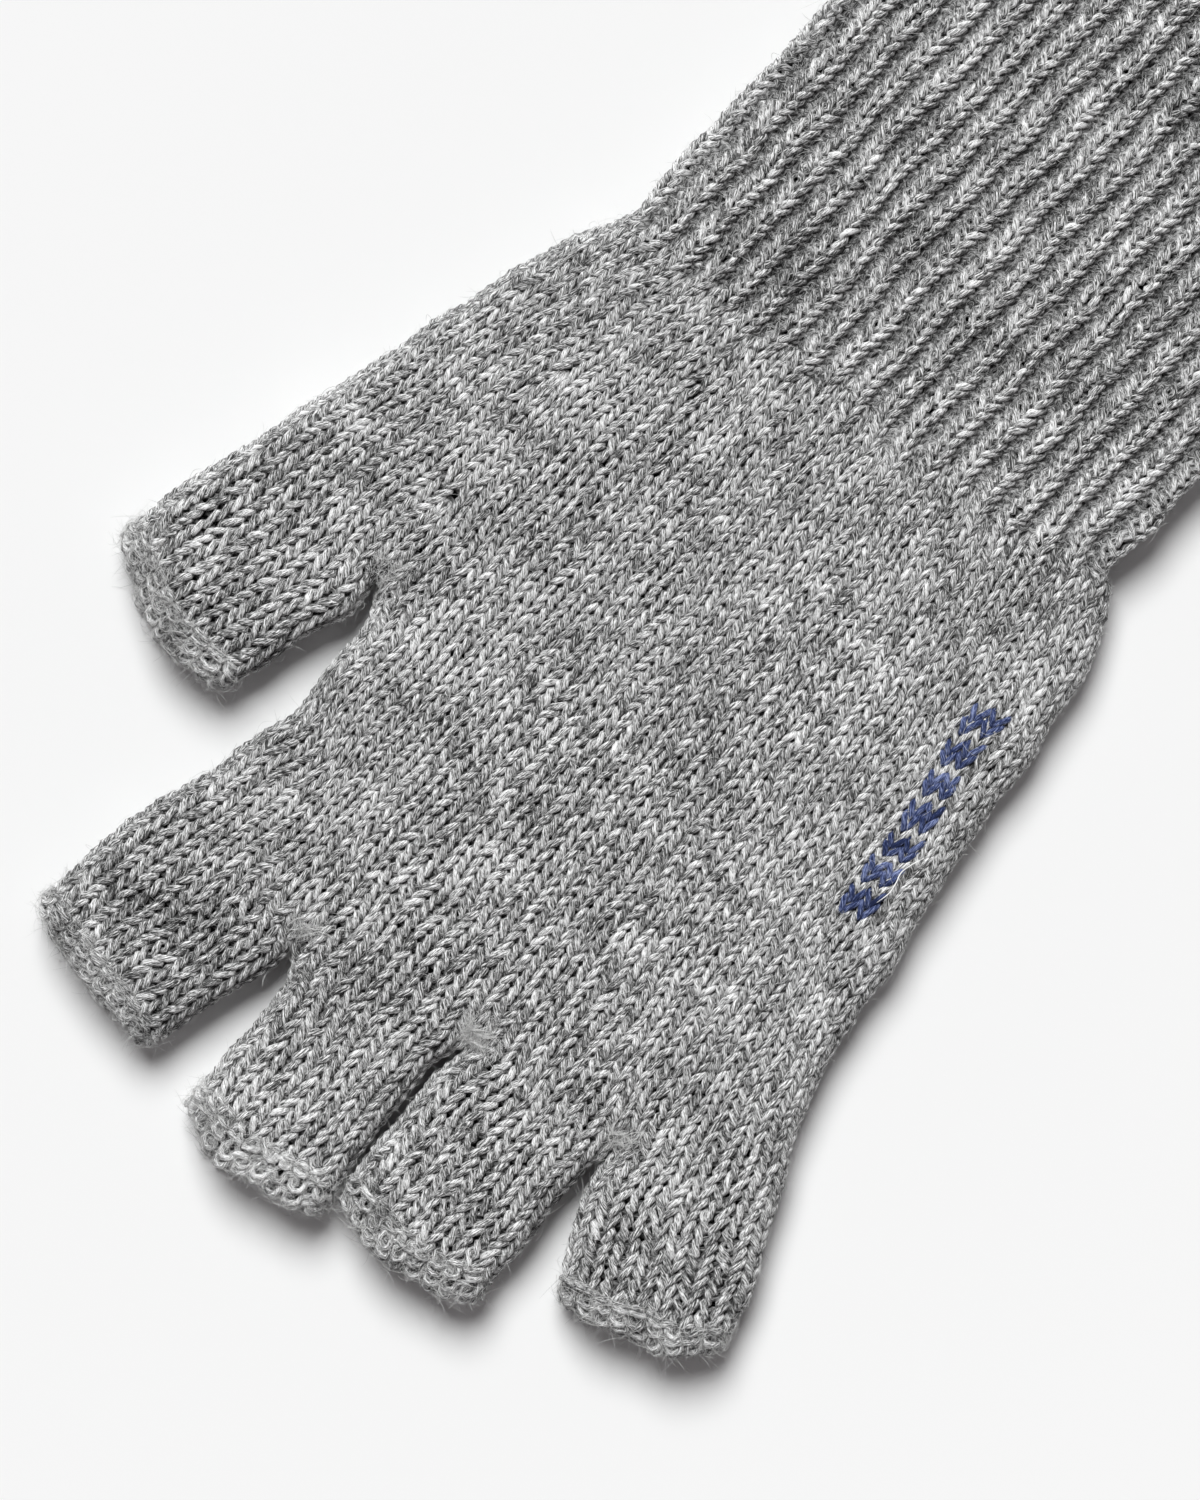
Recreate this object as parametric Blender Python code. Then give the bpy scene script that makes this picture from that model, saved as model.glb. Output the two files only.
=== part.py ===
"""A machine-knitted fingerless glove for the left hand, lying flat, back of the hand up.

Frame: metres, +Z up, +Y from the cuff to the fingertips, +X to the thumb side.
The origin is the middle of the footprint on the surface that the glove lies on.

The glove is one seamless tube of knitting made of sections: a rib cuff with a
start edge, the hand, and five half-length finger stalls, each ending in a thick
bound-off edge. Each section is an open tube with a flattened round section.
Plan sizes below are in millimetres, measured from a datum on the back of the
hand, and placed with DATUM.
"""

import math

import bmesh
import bpy
from mathutils import Matrix, Vector

MM = 0.001

# ------------------------------------------------------------------ driving sizes
DATUM = (-9.2, 19.6)        # shift from the back-of-hand datum to the origin
HAND_HEIGHT = 9.0           # flat thickness of the hand section, both layers
STALL_HEIGHT = 8.4          # the same on a finger stall
EDGE_HEIGHT = 8.8           # the same on a bound-off edge
CUFF_HEIGHT = 8.8
WALL = 1.7                  # one layer of knitting
SIDE_ROUND = 3.6            # radius of the folded sides
GAP = 0.3                   # between sections that touch

HINGE_Z = 3.0               # height of the folding line of a stall
HINGE_AHEAD = 3.5           # from the end of the hand section to a stall
EDGE_BAND = 3.0             # length of a bound-off edge along the stall
CUFF_LENGTH = 80.0
CUFF_LEAN = math.radians(-5.5)   # its ribs run back towards the little-finger side
CUFF_TOP = -41.0            # where the hand section ends
WRIST_Y = -43.1             # folding line of the wrist
CUFF_START = -45.2          # where the rib begins
CUFF_WIDTH = 79.6
CUFF_CENTRE = 6.8
START_BAND = 3.0

# name, middle of the base line (x, y), lean from +Y, base width, tip width, length
STALLS = (
    ("thumb", (54.3, 10.8), 21.8, 25.4, 23.6, 26.4),
    ("index", (34.8, 56.1), 19.7, 26.0, 25.0, 23.7),
    ("middle", (9.5, 62.8), 5.5, 24.0, 22.4, 22.2),
    ("ring", (-15.3, 58.3), 2.2, 22.4, 23.2, 24.1),
    ("little", (-39.0, 53.7), -23.1, 24.0, 23.0, 18.0),
)

# the back of the hand's outline, counter-clockwise; an "end" side is an open mouth
HAND_OUTLINE = (
    (-37.0, -41.0, "end"),      # cuff mouth
    (49.5, -41.0, "side"),
    (53.0, -35.0, "side"),
    (59.3, -16.9, "side"),
    (66.2, 6.1, "end"),         # thumb mouth
    (42.6, 15.5, "side"),       # thumb crotch
    (41.7, 31.0, "side"),
    (44.2, 43.0, "side"),
    (47.2, 51.7, "end"),        # index mouth
    (22.3, 60.6, "end"),        # index crotch, middle mouth
    (21.6, 61.7, "end"),
    (-3.1, 64.0, "end"),
    (-3.5, 57.9, "end"),        # middle crotch, ring mouth
    (-27.0, 58.7, "end"),       # ring crotch, little mouth
    (-50.4, 49.0, "side"),
    (-46.4, 38.0, "side"),
    (-43.4, 24.0, "side"),
    (-41.4, 8.0, "side"),
    (-39.7, -14.4, "side"),
    (-38.9, -33.0, "side"),
)

MARK_CENTRE, MARK_SIZE = (-33.2, -6.6), (5.4, 33.0)   # small sewn bar on the back
MARK_THICK = 0.7
CROTCH_STITCHES = (
    ("thumb", (42.0, 11.5), 100.0),
    ("index", (22.2, 56.6), 80.0),
    ("middle", (-4.2, 53.2), 95.0),
    ("ring", (-27.6, 54.4), 105.0),
)
YARN = 1.5                  # thickness of the doubled yarn of a crotch stitch

GREY = (0.30, 0.30, 0.31, 1.0)
PALE_GREY = (0.42, 0.42, 0.42, 1.0)
BLUE = (0.035, 0.065, 0.23, 1.0)


# ------------------------------------------------------------------ scene helpers
for old in list(bpy.data.objects):
    bpy.data.objects.remove(old)

glove = bpy.data.collections.new("fingerless_glove")
cutters = bpy.data.collections.new("cutters")
for coll in (glove, cutters):
    bpy.context.scene.collection.children.link(coll)


def material(name, colour, roughness):
    mat = bpy.data.materials.new(name)
    mat.use_nodes = True
    bsdf = mat.node_tree.nodes["Principled BSDF"]
    bsdf.inputs["Base Color"].default_value = colour
    bsdf.inputs["Roughness"].default_value = roughness
    bsdf.inputs["Metallic"].default_value = 0.0
    mat.diffuse_color = colour
    return mat


def placed(x, y, z=0.0):
    """A point given from the datum in millimetres, in metres from the origin."""
    return Vector(((x + DATUM[0]) * MM, (y + DATUM[1]) * MM, z * MM))


def heading(degrees):
    """Unit vectors along and across a stall that leans from +Y towards +X."""
    a = math.radians(degrees)
    return Vector((math.sin(a), math.cos(a))), Vector((math.cos(a), -math.sin(a)))


def prism(name, outline, z_low, z_high, coll):
    """A flat outline given height: a filled 2D curve with an extrusion, made a mesh."""
    curve = bpy.data.curves.new(name, "CURVE")
    curve.dimensions = "2D"
    curve.fill_mode = "BOTH"
    curve.extrude = (z_high - z_low) / 2 * MM
    spline = curve.splines.new("POLY")
    spline.points.add(len(outline) - 1)
    for point, (x, y) in zip(spline.points, outline):
        p = placed(x, y)
        point.co = (p.x, p.y, 0.0, 1.0)
    spline.use_cyclic_u = True
    shape = bpy.data.objects.new(name, curve)
    shape.location.z = (z_low + z_high) / 2 * MM
    bpy.context.scene.collection.objects.link(shape)
    bpy.context.view_layer.update()
    graph = bpy.context.evaluated_depsgraph_get()
    mesh = bpy.data.meshes.new_from_object(shape.evaluated_get(graph))
    mesh.transform(shape.matrix_world)
    bpy.data.objects.remove(shape)
    bm = bmesh.new()
    bm.from_mesh(mesh)
    bmesh.ops.remove_doubles(bm, verts=bm.verts, dist=1e-6)
    bmesh.ops.dissolve_limit(
        bm, angle_limit=0.001, verts=bm.verts, edges=bm.edges, use_dissolve_boundaries=False
    )
    bmesh.ops.recalc_face_normals(bm, faces=bm.faces)
    bm.to_mesh(mesh)
    bm.free()
    mesh.name = name
    solid = bpy.data.objects.new(name, mesh)
    coll.objects.link(solid)
    return solid


def round_sides(solid, side_lines, radius, segments=4):
    """Rounds the top and bottom edges that lie over the given plan lines, and no others."""
    bm = bmesh.new()
    bm.from_mesh(solid.data)

    def on_a_side(edge):
        a, b = (v.co for v in edge.verts)
        if abs(a.z - b.z) > 1e-5:
            return False
        for p, q in side_lines:
            along = (q - p).xy
            length = along.length
            along /= length
            across = Vector((-along.y, along.x))
            if all(
                abs((v - p).xy.dot(across)) < 2e-5
                and -2e-5 < (v - p).xy.dot(along) < length + 2e-5
                for v in (a, b)
            ):
                return True
        return False

    edges = [e for e in bm.edges if on_a_side(e)]
    bmesh.ops.bevel(
        bm, geom=edges, offset=radius * MM, offset_type="OFFSET",
        segments=segments, profile=0.5, affect="EDGES", clamp_overlap=True,
    )
    bmesh.ops.recalc_face_normals(bm, faces=bm.faces)
    bm.to_mesh(solid.data)
    bm.free()


def smooth(solid, degrees=35):
    solid.data.shade_smooth()
    solid.data.set_sharp_from_angle(angle=math.radians(degrees))


def hollow(solid, cutter):
    cutter.hide_render = True
    cutter.display_type = "WIRE"
    cut = solid.modifiers.new("hollow_" + cutter.name, "BOOLEAN")
    cut.operation = "DIFFERENCE"
    cut.solver = "EXACT"
    cut.object = cutter


def set_origin(solid, point):
    """Moves the object's origin to point, leaving its shape where it is."""
    solid.data.transform(Matrix.Translation(-point))
    solid.location = point


def inset(outline, distances):
    """The outline with each side moved inwards by its own distance."""
    n = len(outline)
    lines = []
    for i in range(n):
        a, b = Vector(outline[i]), Vector(outline[(i + 1) % n])
        d = (b - a).normalized()
        inward = Vector((-d.y, d.x))
        lines.append((a + inward * distances[i], d))
    moved = []
    for i in range(n):
        (p, d), (q, e) = lines[i - 1], lines[i]
        turn = d.x * e.y - d.y * e.x
        t = ((q - p).x * e.y - (q - p).y * e.x) / turn
        moved.append(tuple(p + d * t))
    return moved


def quad(base, lean, near, far, w_near, w_far):
    """Corners of a tapered strip along a heading, from near to far of its base middle."""
    along, across = heading(lean)
    b = Vector(base)
    corner = lambda d, w: tuple(b + along * d + across * w)
    return (corner(near, -w_near / 2), corner(near, w_near / 2),
            corner(far, w_far / 2), corner(far, -w_far / 2))


def tube(name, corners, height, mat, cavity=None):
    """A flat tube over four corners, counter-clockwise. Its first and third sides
    are open mouths, and the other two are round folds."""
    solid = prism(name, corners, 0.0, height, glove)
    p = [placed(*c) for c in corners]
    round_sides(solid, ((p[1], p[2]), (p[3], p[0])), min(SIDE_ROUND, height / 2 - 0.3))
    inner = inset(corners, (-4.0, WALL, -4.0, WALL))
    low, high = cavity or (WALL, height - WALL)
    cutter = prism("cut_" + name, inner, low, high, cutters)
    q = [placed(*c) for c in inner]
    round_sides(cutter, ((q[1], q[2]), (q[3], q[0])), 1.8, 2)
    hollow(solid, cutter)
    solid.data.materials.append(mat)
    smooth(solid)
    return solid


# ------------------------------------------------------------------ hand section
knit = material("grey_knit", GREY, 0.9)
rib = material("grey_rib", GREY, 0.9)
edge_yarn = material("edge_yarn", PALE_GREY, 0.95)
crotch_yarn = material("crotch_yarn", PALE_GREY, 0.95)
mark_yarn = material("mark_yarn", BLUE, 0.85)

plan = [(x, y) for x, y, _ in HAND_OUTLINE]
hand = prism("hand_tube", plan, 0.0, HAND_HEIGHT, glove)
ends = [placed(x, y) for x, y in plan]
round_sides(
    hand,
    [(ends[i], ends[(i + 1) % len(ends)]) for i in range(len(ends)) if HAND_OUTLINE[i][2] == "side"],
    SIDE_ROUND,
)
palm = [(x, y) for x, y in plan if (x, y) not in ((21.6, 61.7), (-3.5, 57.9))]
room = prism("cut_palm", inset(palm, [WALL + 0.6] * len(palm)), WALL, HAND_HEIGHT - WALL, cutters)
hollow(hand, room)
for name, base, lean, w_base, w_tip, length in STALLS:
    channel = prism(
        "cut_mouth_" + name,
        quad(base, lean, -14.0, 6.0, w_base - 2 * WALL, w_base - 2 * WALL),
        WALL, HAND_HEIGHT - WALL, cutters,
    )
    hollow(hand, channel)
wrist = prism(
    "cut_mouth_wrist",
    (
        (CUFF_CENTRE - CUFF_WIDTH / 2 + WALL, CUFF_TOP - 6.0),
        (CUFF_CENTRE + CUFF_WIDTH / 2 - WALL, CUFF_TOP - 6.0),
        (CUFF_CENTRE + CUFF_WIDTH / 2 - WALL + 1.0, CUFF_TOP + 9.0),
        (CUFF_CENTRE - CUFF_WIDTH / 2 + WALL - 2.0, CUFF_TOP + 9.0),
    ),
    WALL, HAND_HEIGHT - WALL, cutters,
)
hollow(hand, wrist)
hand.data.materials.append(knit)
smooth(hand)

# ------------------------------------------------------------------ finger stalls
for name, base, lean, w_base, w_tip, length in STALLS:
    along, across = heading(lean)
    pivot = bpy.data.objects.new(name + "_fold", None)
    pivot.empty_display_size = 0.01
    pivot.location = placed(base[0] + along.x * HINGE_AHEAD, base[1] + along.y * HINGE_AHEAD, HINGE_Z)
    glove.objects.link(pivot)
    bpy.context.view_layer.update()
    band = length - EDGE_BAND
    width_at = lambda d: w_base + (w_tip - w_base) * d / length
    stall = tube(
        name + "_stall",
        quad(base, lean, HINGE_AHEAD, band - GAP, width_at(HINGE_AHEAD), width_at(band)),
        STALL_HEIGHT, knit,
    )
    edge = tube(
        name + "_bound_edge",
        quad(base, lean, band, length, width_at(band) + 0.5, w_tip + 0.9),
        EDGE_HEIGHT, edge_yarn, cavity=(WALL, STALL_HEIGHT - WALL),
    )
    for piece in (stall, edge):
        set_origin(piece, pivot.location.copy())
        piece.parent = pivot
        piece.matrix_parent_inverse = pivot.matrix_world.inverted()

# ------------------------------------------------------------------ rib cuff
wrist_fold = bpy.data.objects.new("wrist_fold", None)
wrist_fold.empty_display_size = 0.02
wrist_fold.location = placed(CUFF_CENTRE, WRIST_Y, CUFF_HEIGHT / 2)
glove.objects.link(wrist_fold)
bpy.context.view_layer.update()


def cuff_band(near, far, extra):
    """Corners of a band of the cuff. Its courses run along X, and its ribs lean."""
    at = lambda d: (CUFF_CENTRE + d * math.tan(CUFF_LEAN), CUFF_START - d)
    width = lambda d: (CUFF_WIDTH + extra + 0.012 * d) / 2
    (xn, yn), (xf, yf) = at(near), at(far)
    return ((xf - width(far), yf), (xf + width(far), yf),
            (xn + width(near), yn), (xn - width(near), yn))


cuff = tube("rib_cuff", cuff_band(0.0, CUFF_LENGTH - START_BAND - GAP, 0.0), CUFF_HEIGHT, rib)
start_edge = tube(
    "cuff_start_edge", cuff_band(CUFF_LENGTH - START_BAND, CUFF_LENGTH, 0.6),
    CUFF_HEIGHT, edge_yarn,
)
for piece in (cuff, start_edge):
    set_origin(piece, wrist_fold.location.copy())
    piece.parent = wrist_fold
    piece.matrix_parent_inverse = wrist_fold.matrix_world.inverted()

# ------------------------------------------------------------------ small sewn pieces
mx, my = MARK_CENTRE
mw, ml = MARK_SIZE
mark = prism(
    "back_mark",
    ((mx - mw / 2, my - ml / 2), (mx + mw / 2, my - ml / 2), (mx + mw / 2, my + ml / 2), (mx - mw / 2, my + ml / 2)),
    HAND_HEIGHT + GAP, HAND_HEIGHT + GAP + MARK_THICK, glove,
)
mark.data.materials.append(mark_yarn)

for name, (x, y), turn in CROTCH_STITCHES:
    path = bpy.data.curves.new(name + "_crotch_stitch", "CURVE")
    path.dimensions = "3D"
    path.bevel_depth = YARN / 2 * MM
    path.bevel_resolution = 2
    path.use_fill_caps = True
    spline = path.splines.new("POLY")
    spline.points.add(6)
    along, _ = heading(turn)
    for i, point in enumerate(spline.points):
        s = i / 6 - 0.5
        centre = placed(x + along.x * s * 5.0, y + along.y * s * 5.0,
                        HAND_HEIGHT + GAP + YARN / 2 + 0.35 * (1 - 4 * s * s))
        point.co = (*centre, 1.0)
    stitch = bpy.data.objects.new(name + "_crotch_stitch", path)
    bpy.context.scene.collection.objects.link(stitch)
    bpy.context.view_layer.update()
    mesh = bpy.data.meshes.new_from_object(stitch.evaluated_get(bpy.context.evaluated_depsgraph_get()))
    bpy.data.objects.remove(stitch)
    bm = bmesh.new()
    bm.from_mesh(mesh)
    bmesh.ops.remove_doubles(bm, verts=bm.verts, dist=1e-6)
    bmesh.ops.recalc_face_normals(bm, faces=bm.faces)
    bm.to_mesh(mesh)
    bm.free()
    solid = bpy.data.objects.new(name + "_crotch_stitch", mesh)
    solid.data.materials.append(crotch_yarn)
    glove.objects.link(solid)
    smooth(solid)
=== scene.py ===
import math

import bpy
import numpy as np
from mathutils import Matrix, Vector


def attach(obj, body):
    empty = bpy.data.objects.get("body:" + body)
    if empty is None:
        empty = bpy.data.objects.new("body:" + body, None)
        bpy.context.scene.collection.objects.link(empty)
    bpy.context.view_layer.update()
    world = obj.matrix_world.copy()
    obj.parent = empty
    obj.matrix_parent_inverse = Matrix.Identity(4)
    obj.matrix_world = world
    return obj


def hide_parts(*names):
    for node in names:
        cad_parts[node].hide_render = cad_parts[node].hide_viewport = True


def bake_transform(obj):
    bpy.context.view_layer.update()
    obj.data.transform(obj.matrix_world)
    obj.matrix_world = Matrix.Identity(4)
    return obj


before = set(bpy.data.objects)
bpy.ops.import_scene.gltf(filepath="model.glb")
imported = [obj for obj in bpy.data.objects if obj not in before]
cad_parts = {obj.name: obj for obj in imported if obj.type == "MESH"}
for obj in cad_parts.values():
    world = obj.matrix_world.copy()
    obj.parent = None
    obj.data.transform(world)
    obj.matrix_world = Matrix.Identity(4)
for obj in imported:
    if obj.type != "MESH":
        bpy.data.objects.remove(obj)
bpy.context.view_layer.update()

rng = np.random.default_rng(7)
TAU = 2.0 * math.pi

# ---------------------------------------------------------------- sizes, mm
# Plan positions are laid out from a point on the back of the hand, then moved
# onto the part's own frame, the same shift that the solids have.
SHIFT = (-9.2, 19.6)
COURSE = 1.63            # one row of stitches
RIB_TOP = 50.0           # rows in the cuff, up to the first plain row
YARN = 0.48             # yarn radius
LEG = 0.42               # how far the two legs of a stitch stand proud
LOOP = 0.98              # reach of a loop to each side of its row, in rows
WAIST = 0.274            # how far a loop's legs splay, in columns
INSET = 0.72             # yarn centres stay this far inside the outline
STRIPS = ("thumb", "index", "middle", "ring", "little")
FIRST = (0, 9, 18, 26, 34, 42)          # first column of each strip, and the end
COLUMNS = FIRST[-1]

# Lines between the strips, from the wrist to the crotches; the first and the
# last are the folded sides, which go on to the finger ends.
GUIDES = (
    ((46.9, -46.0), (49.4, -42.6), (52.4, -36.4), (56.0, -27.0), (59.3, -16.9), (63.0, -6.0), (67.0, 6.0), (72.2, 21.5), (74.7, 30.4)),
    ((35.6, -43.4), (38.3, -34.0), (40.3, -24.0), (41.8, -10.0), (42.8, 4.0), (43.2, 13.8)),
    ((15.8, -43.0), (16.9, -33.0), (17.7, -20.0), (18.7, 0.0), (20.1, 25.0), (21.8, 45.0), (22.8, 58.0)),
    ((-1.6, -43.0), (-2.0, -25.0), (-2.4, 0.0), (-3.0, 25.0), (-3.9, 45.0), (-4.3, 54.8)),
    ((-19.1, -43.2), (-21.0, -30.0), (-23.0, -8.0), (-24.6, 18.0), (-26.3, 40.0), (-27.6, 54.6)),
    ((-32.4, -47.2), (-35.2, -43.6), (-38.0, -36.5), (-39.3, -26.0), (-39.7, -14.4), (-41.7, 9.6), (-44.2, 29.7), (-46.6, 39.2), (-49.0, 44.5), (-52.8, 54.1), (-55.4, 61.3), (-57.0, 66.8)),
)
# The two edges of each stall above its crotches, thumb side first.
STALLS = {
    "thumb": (None, ((43.2, 13.8), (43.5, 19.5), (45.6, 24.0), (47.8, 29.8), (50.0, 35.9), (51.4, 39.4))),
    "index": (((43.2, 13.8), (41.4, 18.5), (41.6, 25.7), (41.8, 34.3), (43.6, 42.0), (45.9, 49.4), (48.4, 55.4), (50.6, 62.3), (51.8, 70.0), (52.5, 75.9)),
              ((22.8, 58.0), (22.6, 63.0), (24.3, 68.5), (26.2, 73.7), (28.5, 79.3), (29.6, 82.3))),
    "middle": (((22.8, 58.0), (20.8, 62.0), (19.9, 66.0), (20.1, 76.3), (21.5, 84.8)),
               ((-4.3, 54.8), (-3.2, 57.6), (-2.2, 60.8), (-2.15, 68.0), (-2.2, 78.0), (-3.0, 84.9))),
    "ring": (((-4.3, 54.8), (-4.0, 57.6), (-3.5, 60.8), (-3.0, 68.0), (-2.75, 76.0), (-2.9, 82.0)),
             ((-27.6, 54.6), (-26.9, 60.0), (-26.8, 71.9), (-26.2, 81.8))),
    "little": (((-27.6, 54.6), (-28.4, 60.4), (-30.7, 66.3), (-34.1, 74.4)), None),
}
CUFF_END = ((39.2, -125.2), (-40.8, -125.2))
BULGE = (2.6, 1.8, 3.0, 2.9, 2.5)       # how far the middle of each end runs ahead


# ---------------------------------------------------------------- small maths
def step(a, b, x):
    t = np.clip((x - a) / (b - a), 0.0, 1.0)
    return t * t * (3.0 - 2.0 * t)


def waves(seed, scale, count=9, dims=2):
    """A smooth random field, as a sum of sine waves about `scale` mm long."""
    own = np.random.default_rng(seed)
    aim = own.normal(size=(count, dims))
    aim /= np.linalg.norm(aim, axis=1)[:, None]
    aim *= (TAU / scale) * own.uniform(0.6, 1.7, (count, 1))
    phase = own.uniform(0, TAU, count)

    def field(*coords):
        total = 0.0
        for row, p in zip(aim, phase):
            total = total + np.sin(sum(k * c for k, c in zip(row, coords)) + p)
        return total / math.sqrt(count / 2.0)

    return field


def through(points, per=24):
    """A smooth line through the points, as many points, and the length up to each."""
    p = np.array(points, float)
    ends = np.vstack([2 * p[0] - p[1], p, 2 * p[-1] - p[-2]])
    t = np.linspace(0, 1, per, endpoint=False)[:, None]
    line = []
    for a, b, c, d in zip(ends[:-3], ends[1:-2], ends[2:-1], ends[3:]):
        line.append(0.5 * (2 * b + (c - a) * t + (2 * a - 5 * b + 4 * c - d) * t**2 + (3 * b - a - 3 * c + d) * t**3))
    line = np.vstack(line + [p[-1:]])
    gone = np.concatenate([[0], np.cumsum(np.linalg.norm(np.diff(line, axis=0), axis=1))])
    return line, gone


class Line:
    """A line in plan whose points are asked for by row number."""

    def __init__(self):
        self.rows, self.at = [], []

    def add(self, line, gone, first, last):
        rows = first + (last - first) * gone / gone[-1]
        skip = 1 if self.rows else 0
        self.rows += list(rows[skip:])
        self.at += list(line[skip:])
        return self

    def done(self):
        self.rows, self.at = np.array(self.rows), np.array(self.at)
        return self

    def __call__(self, v):
        r, p = self.rows, self.at
        out = np.stack([np.interp(v, r, p[:, 0]), np.interp(v, r, p[:, 1])], axis=-1)
        low = (p[3] - p[0]) / (r[3] - r[0])
        high = (p[-1] - p[-4]) / (r[-1] - r[-4])
        out += np.minimum(v - r[0], 0)[..., None] * low + np.maximum(v - r[-1], 0)[..., None] * high
        return out


# ---------------------------------------------------------------- the strips' edges
HALF = 3.3               # half the thickness, to the yarn centres, in the hand


def fold(e, r):
    """Along a folded side: how far in and how high a point is, e round the fold."""
    bend = 0.5 * math.pi * r
    round_ = e < bend
    inward = np.where(round_, r * (1 - np.cos(np.minimum(e, bend) / r)), e - 0.5708 * r)
    high = np.where(round_, np.sin(np.minimum(e, bend) / r), 1.0)
    return inward, high


guide_lines = [through(g) for g in GUIDES]
crotch = [None] + [RIB_TOP + guide_lines[k][1][-1] / COURSE for k in (1, 2, 3, 4)] + [None]
stall_lines = {n: [None if s is None else through(s) for s in sides] for n, sides in STALLS.items()}
tip = []
for j, name in enumerate(STRIPS):
    found = []
    for side, k in ((0, j), (1, j + 1)):
        if stall_lines[name][side] is None:
            found.append(RIB_TOP + guide_lines[k][1][-1] / COURSE)
        else:
            found.append(crotch[k] + stall_lines[name][side][1][-1] / COURSE)
    tip.append(sum(found) / 2)

cuff_columns = (0, 6, 15, 23, 31, 38)
cuff_wide = CUFF_END[0][0] - CUFF_END[1][0]


def cuff_start(k):
    half_round = cuff_wide + 2 * (0.5708 * HALF - INSET)
    e = half_round * cuff_columns[k] / 38.0
    x = 0.0 if k == 0 else cuff_wide if k == 5 else e - 0.5708 * HALF + INSET
    return (CUFF_END[0][0] - x, CUFF_END[0][1])


def edge(j, side):
    k, name = j + side, STRIPS[j]
    line = Line()
    lead = through([cuff_start(k), np.array(GUIDES[k][0]) * 0.5 + np.array(cuff_start(k)) * 0.5 + (0.5 if k in (0,) else 0.0, 0.0), GUIDES[k][0]])
    line.add(*lead, 0.0, RIB_TOP)
    palm, gone = guide_lines[k]
    upper = stall_lines[name][side]
    if upper is None:
        line.add(palm, gone, RIB_TOP, tip[j])
    else:
        line.add(palm, gone, RIB_TOP, crotch[k])
        line.add(*upper, crotch[k], tip[j])
    return line.done()


EDGES = [(edge(j, 0), edge(j, 1)) for j in range(5)]
KNIT_END = [t - 1.9 for t in tip]

# ---------------------------------------------------------------- columns
own = np.random.default_rng(3)
onset = RIB_TOP + own.uniform(-1.6, 1.3, COLUMNS)
rib_kind = np.zeros(COLUMNS)            # +1 a knit rib, -1 a purl trough, in the cuff
left = [k for k in range(COLUMNS) if k not in (0, 7, 8, 41)]
for n, k in enumerate(left):
    rib_kind[k] = 1.0 if n % 2 == 0 else -1.0
for k in (0, 7, 8, 41):
    rib_kind[k] = rib_kind[min(max(k, 1), 40)] if k in (0, 41) else 0.0


def width_of(k, v):
    w = np.ones_like(v)
    if k == 8:
        w = step(74.0, 82.0, v)
    elif k == 7:
        w = step(60.0, 68.0, v)
    elif k in (0, 41):
        w = step(51.0, 58.0, v)
    ribbed = 1 - step(onset[k] - 1.5, onset[k] + 3.5, v)
    return w * (1 + 0.50 * ribbed * rib_kind[k])


V_GRID = np.arange(-4.0, 134.0, 0.5)
WIDTH = np.stack([width_of(k, V_GRID) for k in range(COLUMNS)])
SUM = np.vstack([np.zeros_like(V_GRID), np.cumsum(WIDTH, axis=0)])


def grid_read(table, k, v):
    """table[k] at row v, read between grid rows."""
    x = np.clip((v - V_GRID[0]) / 0.5, 0, len(V_GRID) - 1.001)
    i = x.astype(int)
    t = x - i
    return table[k, i] * (1 - t) + table[k, i + 1] * t


def reach(u, v):
    """How far across column position u is at row v, in plain column widths."""
    k = np.clip(np.floor(u), 0, COLUMNS - 1).astype(int)
    return grid_read(SUM, k, v) + (u - k) * grid_read(WIDTH, k, v)


slow_a, slow_b = waves(21, 17.0), waves(22, 17.0)
small_a, small_b = waves(23, 6.0), waves(24, 6.0)
puff, dent = waves(25, 30.0), waves(26, 11.0)


def hermite(knots, points, x, cell):
    """A smooth line through points[0..n], at x, between knots[cell] and the next."""
    n = len(knots)
    def slope(i):
        a, b = max(i - 1, 0), min(i + 1, n - 1)
        return (points[b] - points[a]) / (knots[b] - knots[a])[..., None]
    out = 0.0
    for i in range(n - 1):
        span = knots[i + 1] - knots[i]
        t = ((x - knots[i]) / span)[..., None]
        m0, m1 = slope(i) * span[..., None], slope(i + 1) * span[..., None]
        value = (2 * t**3 - 3 * t**2 + 1) * points[i] + (t**3 - 2 * t**2 + t) * m0 + (3 * t**2 - 2 * t**3) * points[i + 1] + (t**3 - t**2) * m1
        out = out + np.where((cell == i)[..., None], value, 0.0)
    return out


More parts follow.
